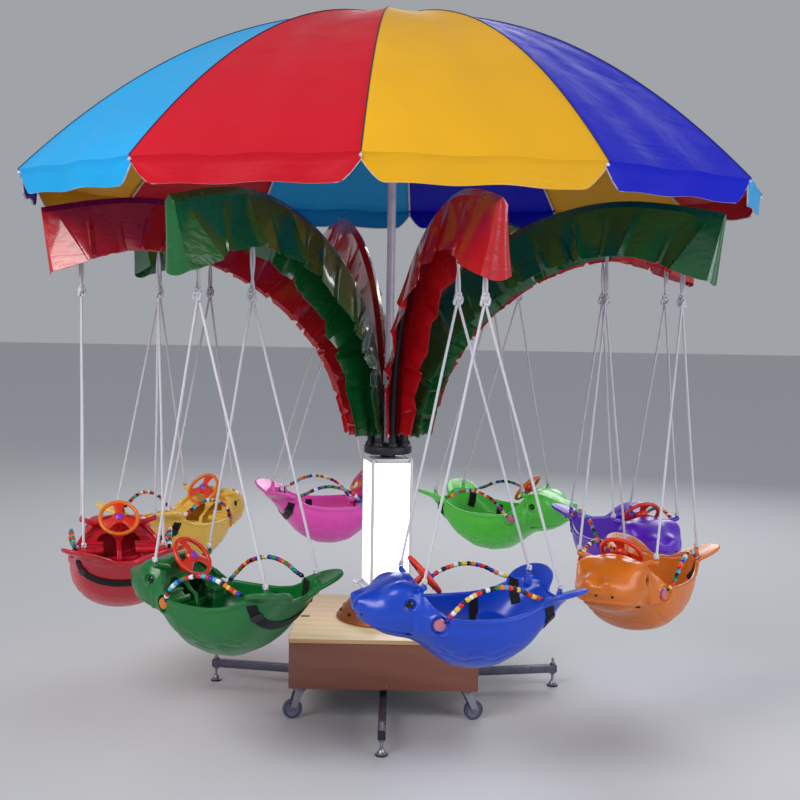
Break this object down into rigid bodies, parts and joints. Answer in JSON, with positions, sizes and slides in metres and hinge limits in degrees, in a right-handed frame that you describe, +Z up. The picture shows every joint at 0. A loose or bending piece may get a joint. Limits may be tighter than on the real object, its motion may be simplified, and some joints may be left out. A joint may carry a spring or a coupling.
{
  "type": "chair swing ride",
  "caption": "Small wheeled chair swing ride with a lit column, leaf-covered arms, moulded animal seats on ropes and a striped canopy.",
  "frame": {"origin": "on the floor, on the axis that the ride turns about", "axes": "+Z up along the turning axis, -Y to the front outrigger leg, +X to the right seen from the front"},
  "size_m": [2.8356, 2.8356, 2.655],
  "materials": {
    "wood": "satin lacquer",
    "black_steel": "satin black paint",
    "zinc_steel": "zinc plated",
    "caster_tread": "translucent grey",
    "cover_paint": "copper brown gloss",
    "lantern": "opal white, lit from inside",
    "column_steel": "dark paint",
    "pole_paint": "off-white gloss",
    "leaf_red": "glossy coated cloth",
    "leaf_green": "glossy coated cloth",
    "canopy_cloth": "coated polyester in red, yellow, blue and cyan panels",
    "rib_steel": "satin",
    "rope": "braided white rope",
    "plastic_blue": "rotation-moulded, semi-gloss",
    "plastic_orange": "rotation-moulded, semi-gloss",
    "plastic_purple": "rotation-moulded, semi-gloss",
    "plastic_light_green": "rotation-moulded, semi-gloss",
    "plastic_pink": "rotation-moulded, semi-gloss",
    "plastic_yellow": "rotation-moulded, semi-gloss",
    "plastic_red": "rotation-moulded, semi-gloss",
    "plastic_green": "rotation-moulded, semi-gloss"
  },
  "bodies": {
    "base": {"base_box": "wood", "base_frame": "black_steel", "levelling_foot_front": "zinc_steel", "levelling_foot_right": "zinc_steel", "levelling_foot_rear": "zinc_steel", "levelling_foot_left": "zinc_steel"},
    "rotor": {"turntable_cover": "cover_paint", "mast": "column_steel", "light_column": "lantern", "canopy_pole": "pole_paint", "arm_crown": "column_steel", "canopy": "canopy_cloth", "canopy_frame": "rib_steel", "leaf_cover_blue_seat": "leaf_red", "leaf_cover_orange_seat": "leaf_green", "leaf_cover_purple_seat": "leaf_red", "leaf_cover_light_green_seat": "leaf_green", "leaf_cover_pink_seat": "leaf_red", "leaf_cover_yellow_seat": "leaf_green", "leaf_cover_red_seat": "leaf_red", "leaf_cover_green_seat": "leaf_green"},
    "inner_ropes_blue": {"rope_pair_inner_blue": "rope"},
    "outer_ropes_blue": {"rope_pair_outer_blue": "rope"},
    "seat_blue": {"seat_blue": "plastic_blue"},
    "inner_ropes_orange": {"rope_pair_inner_orange": "rope"},
    "outer_ropes_orange": {"rope_pair_outer_orange": "rope"},
    "seat_orange": {"seat_orange": "plastic_orange"},
    "inner_ropes_purple": {"rope_pair_inner_purple": "rope"},
    "outer_ropes_purple": {"rope_pair_outer_purple": "rope"},
    "seat_purple": {"seat_purple": "plastic_purple"},
    "inner_ropes_light_green": {"rope_pair_inner_light_green": "rope"},
    "outer_ropes_light_green": {"rope_pair_outer_light_green": "rope"},
    "seat_light_green": {"seat_light_green": "plastic_light_green"},
    "inner_ropes_pink": {"rope_pair_inner_pink": "rope"},
    "outer_ropes_pink": {"rope_pair_outer_pink": "rope"},
    "seat_pink": {"seat_pink": "plastic_pink"},
    "inner_ropes_yellow": {"rope_pair_inner_yellow": "rope"},
    "outer_ropes_yellow": {"rope_pair_outer_yellow": "rope"},
    "seat_yellow": {"seat_yellow": "plastic_yellow"},
    "inner_ropes_red": {"rope_pair_inner_red": "rope"},
    "outer_ropes_red": {"rope_pair_outer_red": "rope"},
    "seat_red": {"seat_red": "plastic_red"},
    "inner_ropes_green": {"rope_pair_inner_green": "rope"},
    "outer_ropes_green": {"rope_pair_outer_green": "rope"},
    "seat_green": {"seat_green": "plastic_green"},
    "caster_front_left": {"caster_fork_front_left": "zinc_steel"},
    "wheel_front_left": {"caster_wheel_front_left": "caster_tread"},
    "caster_front_right": {"caster_fork_front_right": "zinc_steel"},
    "wheel_front_right": {"caster_wheel_front_right": "caster_tread"},
    "caster_rear_right": {"caster_fork_rear_right": "zinc_steel"},
    "wheel_rear_right": {"caster_wheel_rear_right": "caster_tread"},
    "caster_rear_left": {"caster_fork_rear_left": "zinc_steel"},
    "wheel_rear_left": {"caster_wheel_rear_left": "caster_tread"}
  },
  "joints": [
    {"name": "ride_turn", "type": "hinge", "parent": "base", "child": "rotor", "pos_m": [0, 0, 0.3136], "axis": [0, 0, 1], "continuous": true},
    {"name": "swing_out_blue", "type": "hinge", "parent": "rotor", "child": "inner_ropes_blue", "pos_m": [0.2256, -0.8661, 1.859], "axis": [-0.9651, -0.2514, 0.074], "range_deg": [-5, 25]},
    {"name": "seat_level_blue", "type": "hinge", "parent": "inner_ropes_blue", "child": "seat_blue", "pos_m": [0.05625, -0.91021, 0.725], "axis": [-0.9651, -0.2514, 0.074], "range_deg": [-25, 5]},
    {"name": "outer_swing_blue", "type": "hinge", "parent": "rotor", "child": "outer_ropes_blue", "pos_m": [0.29618, -1.13706, 1.859], "axis": [-0.9651, -0.2514, 0.074], "range_deg": [-5, 25]},
    {"name": "swing_out_orange", "type": "hinge", "parent": "rotor", "child": "inner_ropes_orange", "pos_m": [0.77195, -0.4529, 1.859], "axis": [-0.5046, -0.8602, 0.074], "range_deg": [-5, 25]},
    {"name": "seat_level_orange", "type": "hinge", "parent": "inner_ropes_orange", "child": "seat_orange", "pos_m": [0.68339, -0.60384, 0.725], "axis": [-0.5046, -0.8602, 0.074], "range_deg": [-25, 5]},
    {"name": "outer_swing_orange", "type": "hinge", "parent": "rotor", "child": "outer_ropes_orange", "pos_m": [1.01345, -0.59459, 1.859], "axis": [-0.5046, -0.8602, 0.074], "range_deg": [-5, 25]},
    {"name": "swing_out_purple", "type": "hinge", "parent": "rotor", "child": "inner_ropes_purple", "pos_m": [0.8661, 0.2256, 1.859], "axis": [0.2514, -0.9651, 0.074], "range_deg": [-5, 25]},
    {"name": "seat_level_purple", "type": "hinge", "parent": "inner_ropes_purple", "child": "seat_purple", "pos_m": [0.91021, 0.05625, 0.725], "axis": [0.2514, -0.9651, 0.074], "range_deg": [-25, 5]},
    {"name": "outer_swing_purple", "type": "hinge", "parent": "rotor", "child": "outer_ropes_purple", "pos_m": [1.13706, 0.29618, 1.859], "axis": [0.2514, -0.9651, 0.074], "range_deg": [-5, 25]},
    {"name": "swing_out_light_green", "type": "hinge", "parent": "rotor", "child": "inner_ropes_light_green", "pos_m": [0.4529, 0.77195, 1.859], "axis": [0.8602, -0.5046, 0.074], "range_deg": [-5, 25]},
    {"name": "seat_level_light_green", "type": "hinge", "parent": "inner_ropes_light_green", "child": "seat_light_green", "pos_m": [0.60384, 0.68339, 0.725], "axis": [0.8602, -0.5046, 0.074], "range_deg": [-25, 5]},
    {"name": "outer_swing_light_green", "type": "hinge", "parent": "rotor", "child": "outer_ropes_light_green", "pos_m": [0.59459, 1.01345, 1.859], "axis": [0.8602, -0.5046, 0.074], "range_deg": [-5, 25]},
    {"name": "swing_out_pink", "type": "hinge", "parent": "rotor", "child": "inner_ropes_pink", "pos_m": [-0.2256, 0.8661, 1.859], "axis": [0.9651, 0.2514, 0.074], "range_deg": [-5, 25]},
    {"name": "seat_level_pink", "type": "hinge", "parent": "inner_ropes_pink", "child": "seat_pink", "pos_m": [-0.05625, 0.91021, 0.725], "axis": [0.9651, 0.2514, 0.074], "range_deg": [-25, 5]},
    {"name": "outer_swing_pink", "type": "hinge", "parent": "rotor", "child": "outer_ropes_pink", "pos_m": [-0.29618, 1.13706, 1.859], "axis": [0.9651, 0.2514, 0.074], "range_deg": [-5, 25]},
    {"name": "swing_out_yellow", "type": "hinge", "parent": "rotor", "child": "inner_ropes_yellow", "pos_m": [-0.77195, 0.4529, 1.859], "axis": [0.5046, 0.8602, 0.074], "range_deg": [-5, 25]},
    {"name": "seat_level_yellow", "type": "hinge", "parent": "inner_ropes_yellow", "child": "seat_yellow", "pos_m": [-0.68339, 0.60384, 0.725], "axis": [0.5046, 0.8602, 0.074], "range_deg": [-25, 5]},
    {"name": "outer_swing_yellow", "type": "hinge", "parent": "rotor", "child": "outer_ropes_yellow", "pos_m": [-1.01345, 0.59459, 1.859], "axis": [0.5046, 0.8602, 0.074], "range_deg": [-5, 25]},
    {"name": "swing_out_red", "type": "hinge", "parent": "rotor", "child": "inner_ropes_red", "pos_m": [-0.8661, -0.2256, 1.859], "axis": [-0.2514, 0.9651, 0.074], "range_deg": [-5, 25]},
    {"name": "seat_level_red", "type": "hinge", "parent": "inner_ropes_red", "child": "seat_red", "pos_m": [-0.91021, -0.05625, 0.725], "axis": [-0.2514, 0.9651, 0.074], "range_deg": [-25, 5]},
    {"name": "outer_swing_red", "type": "hinge", "parent": "rotor", "child": "outer_ropes_red", "pos_m": [-1.13706, -0.29618, 1.859], "axis": [-0.2514, 0.9651, 0.074], "range_deg": [-5, 25]},
    {"name": "swing_out_green", "type": "hinge", "parent": "rotor", "child": "inner_ropes_green", "pos_m": [-0.4529, -0.77195, 1.859], "axis": [-0.8602, 0.5046, 0.074], "range_deg": [-5, 25]},
    {"name": "seat_level_green", "type": "hinge", "parent": "inner_ropes_green", "child": "seat_green", "pos_m": [-0.60384, -0.68339, 0.725], "axis": [-0.8602, 0.5046, 0.074], "range_deg": [-25, 5]},
    {"name": "outer_swing_green", "type": "hinge", "parent": "rotor", "child": "outer_ropes_green", "pos_m": [-0.59459, -1.01345, 1.859], "axis": [-0.8602, 0.5046, 0.074], "range_deg": [-5, 25]},
    {"name": "caster_swivel_front_left", "type": "hinge", "parent": "base", "child": "caster_front_left", "pos_m": [-0.315, -0.315, 0.1215], "axis": [0, 0, 1], "continuous": true},
    {"name": "wheel_roll_front_left", "type": "hinge", "parent": "caster_front_left", "child": "wheel_front_left", "pos_m": [-0.34131, -0.32458, 0.0375], "axis": [0.342, -0.9397, 0], "continuous": true},
    {"name": "caster_swivel_front_right", "type": "hinge", "parent": "base", "child": "caster_front_right", "pos_m": [0.315, -0.315, 0.1215], "axis": [0, 0, 1], "continuous": true},
    {"name": "wheel_roll_front_right", "type": "hinge", "parent": "caster_front_right", "child": "wheel_front_right", "pos_m": [0.34131, -0.30542, 0.0375], "axis": [-0.342, 0.9397, 0], "continuous": true},
    {"name": "caster_swivel_rear_right", "type": "hinge", "parent": "base", "child": "caster_rear_right", "pos_m": [0.315, 0.315, 0.1215], "axis": [0, 0, 1], "continuous": true},
    {"name": "wheel_roll_rear_right", "type": "hinge", "parent": "caster_rear_right", "child": "wheel_rear_right", "pos_m": [0.32458, 0.34131, 0.0375], "axis": [-0.9397, 0.342, 0], "continuous": true},
    {"name": "caster_swivel_rear_left", "type": "hinge", "parent": "base", "child": "caster_rear_left", "pos_m": [-0.315, 0.315, 0.1215], "axis": [0, 0, 1], "continuous": true},
    {"name": "wheel_roll_rear_left", "type": "hinge", "parent": "caster_rear_left", "child": "wheel_rear_left", "pos_m": [-0.34131, 0.32458, 0.0375], "axis": [-0.342, -0.9397, 0], "continuous": true}
  ],
  "couplings": [
    {"joint": "seat_level_blue", "follows": "swing_out_blue", "ratio": -1},
    {"joint": "outer_swing_blue", "follows": "swing_out_blue", "ratio": 1},
    {"joint": "seat_level_orange", "follows": "swing_out_orange", "ratio": -1},
    {"joint": "outer_swing_orange", "follows": "swing_out_orange", "ratio": 1},
    {"joint": "seat_level_purple", "follows": "swing_out_purple", "ratio": -1},
    {"joint": "outer_swing_purple", "follows": "swing_out_purple", "ratio": 1},
    {"joint": "seat_level_light_green", "follows": "swing_out_light_green", "ratio": -1},
    {"joint": "outer_swing_light_green", "follows": "swing_out_light_green", "ratio": 1},
    {"joint": "seat_level_pink", "follows": "swing_out_pink", "ratio": -1},
    {"joint": "outer_swing_pink", "follows": "swing_out_pink", "ratio": 1},
    {"joint": "seat_level_yellow", "follows": "swing_out_yellow", "ratio": -1},
    {"joint": "outer_swing_yellow", "follows": "swing_out_yellow", "ratio": 1},
    {"joint": "seat_level_red", "follows": "swing_out_red", "ratio": -1},
    {"joint": "outer_swing_red", "follows": "swing_out_red", "ratio": 1},
    {"joint": "seat_level_green", "follows": "swing_out_green", "ratio": -1},
    {"joint": "outer_swing_green", "follows": "swing_out_green", "ratio": 1}
  ]
}
